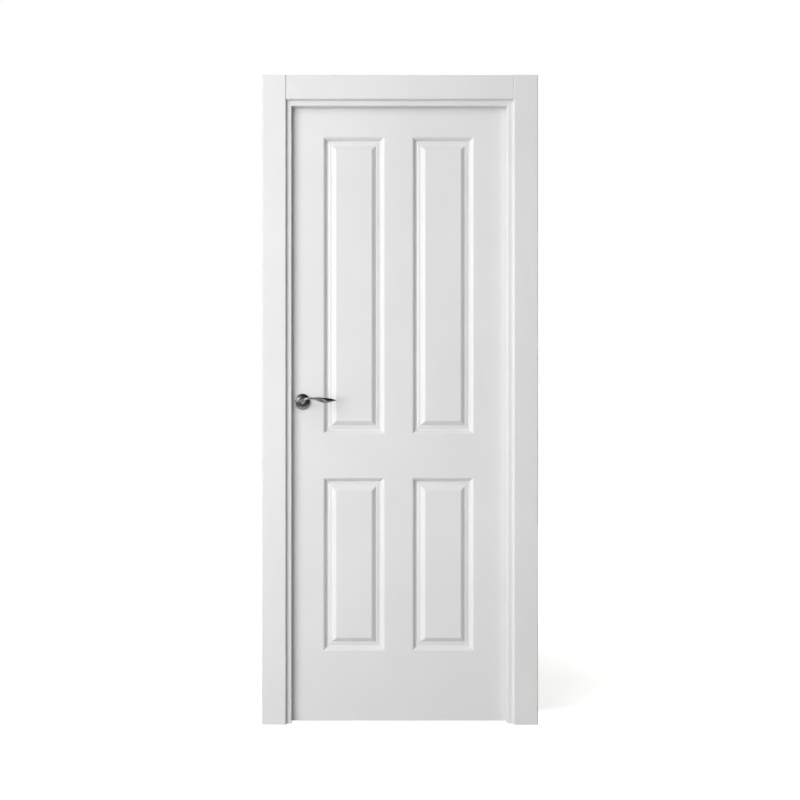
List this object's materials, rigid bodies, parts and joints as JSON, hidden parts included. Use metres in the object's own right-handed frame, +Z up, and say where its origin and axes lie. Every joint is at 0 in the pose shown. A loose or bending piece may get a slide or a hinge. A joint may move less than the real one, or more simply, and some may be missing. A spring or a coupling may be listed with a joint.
{
  "type": "interior door with frame",
  "caption": "White lacquered interior door with routed raised panels, hung on butt hinges in a rebated frame with architraves, with a mortise latch and lever handles.",
  "frame": {"origin": "on the floor, at the middle of the frame's width and of the whole depth from the front lever to the rear lever", "axes": "+X to the right seen from the front, towards the hinges; +Y away from the viewer, the way the leaf opens; +Z up"},
  "size_m": [0.903, 0.161, 2.122],
  "materials": {
    "lacquered_wood": "satin white lacquer",
    "handle_metal": "satin chrome",
    "hinge_steel": "brushed",
    "lock_steel": "zinc plated",
    "rosette_base": "zinc plated",
    "seal_rubber": "matt"
  },
  "bodies": {
    "frame": {"latch_jamb": "lacquered_wood", "hinge_jamb": "lacquered_wood", "head_jamb": "lacquered_wood", "front_architrave_latch": "lacquered_wood", "front_architrave_hinge": "lacquered_wood", "front_architrave_head": "lacquered_wood", "rear_architrave_latch": "lacquered_wood", "rear_architrave_hinge": "lacquered_wood", "rear_architrave_head": "lacquered_wood", "seal_latch": "seal_rubber", "seal_hinge": "seal_rubber", "seal_head": "seal_rubber", "corner_screws": "lock_steel", "strike_plate": "hinge_steel", "strike_screws": "hinge_steel", "frame_hinge_low": "hinge_steel", "frame_hinge_mid": "hinge_steel", "frame_hinge_top": "hinge_steel", "frame_hinge_screws": "hinge_steel", "hinge_pin_low": "hinge_steel", "hinge_pin_mid": "hinge_steel", "hinge_pin_top": "hinge_steel"},
    "leaf": {"door_leaf": "lacquered_wood", "leaf_hinge_low": "hinge_steel", "leaf_hinge_mid": "hinge_steel", "leaf_hinge_top": "hinge_steel", "leaf_hinge_screws": "hinge_steel", "lock_case": "lock_steel", "lock_cover": "lock_steel", "faceplate": "hinge_steel", "faceplate_screws": "hinge_steel", "latch_spring": "lock_steel", "rosette_base_front": "rosette_base", "rosette_base_rear": "rosette_base", "rosette_cover_front": "handle_metal", "rosette_cover_rear": "handle_metal", "rosette_screws": "lock_steel"},
    "handle": {"lever_front": "handle_metal", "lever_rear": "handle_metal", "spindle": "lock_steel", "latch_hub": "lock_steel", "grub_screws": "lock_steel"},
    "latch": {"latch_bolt": "hinge_steel"}
  },
  "joints": [
    {"name": "door_swing", "type": "hinge", "parent": "frame", "child": "leaf", "pos_m": [0.3635, 0.0295, 1.033], "axis": [0, 0, -1], "range_deg": [0, 170]},
    {"name": "handle_turn", "type": "hinge", "parent": "leaf", "child": "handle", "pos_m": [-0.3185, 0, 1.055], "axis": [0, 1, 0], "range_deg": [0, 40], "stiffness_Nm_per_rad": 2, "springref_deg": -11.46},
    {"name": "latch_slide", "type": "slide", "parent": "leaf", "child": "latch", "axis": [1, 0, 0], "range_m": [0, 0.012], "deforming": ["latch_spring"]}
  ],
  "couplings": [
    {"joint": "latch_slide", "follows": "handle_turn", "m_per_rad": 0.017189}
  ]
}
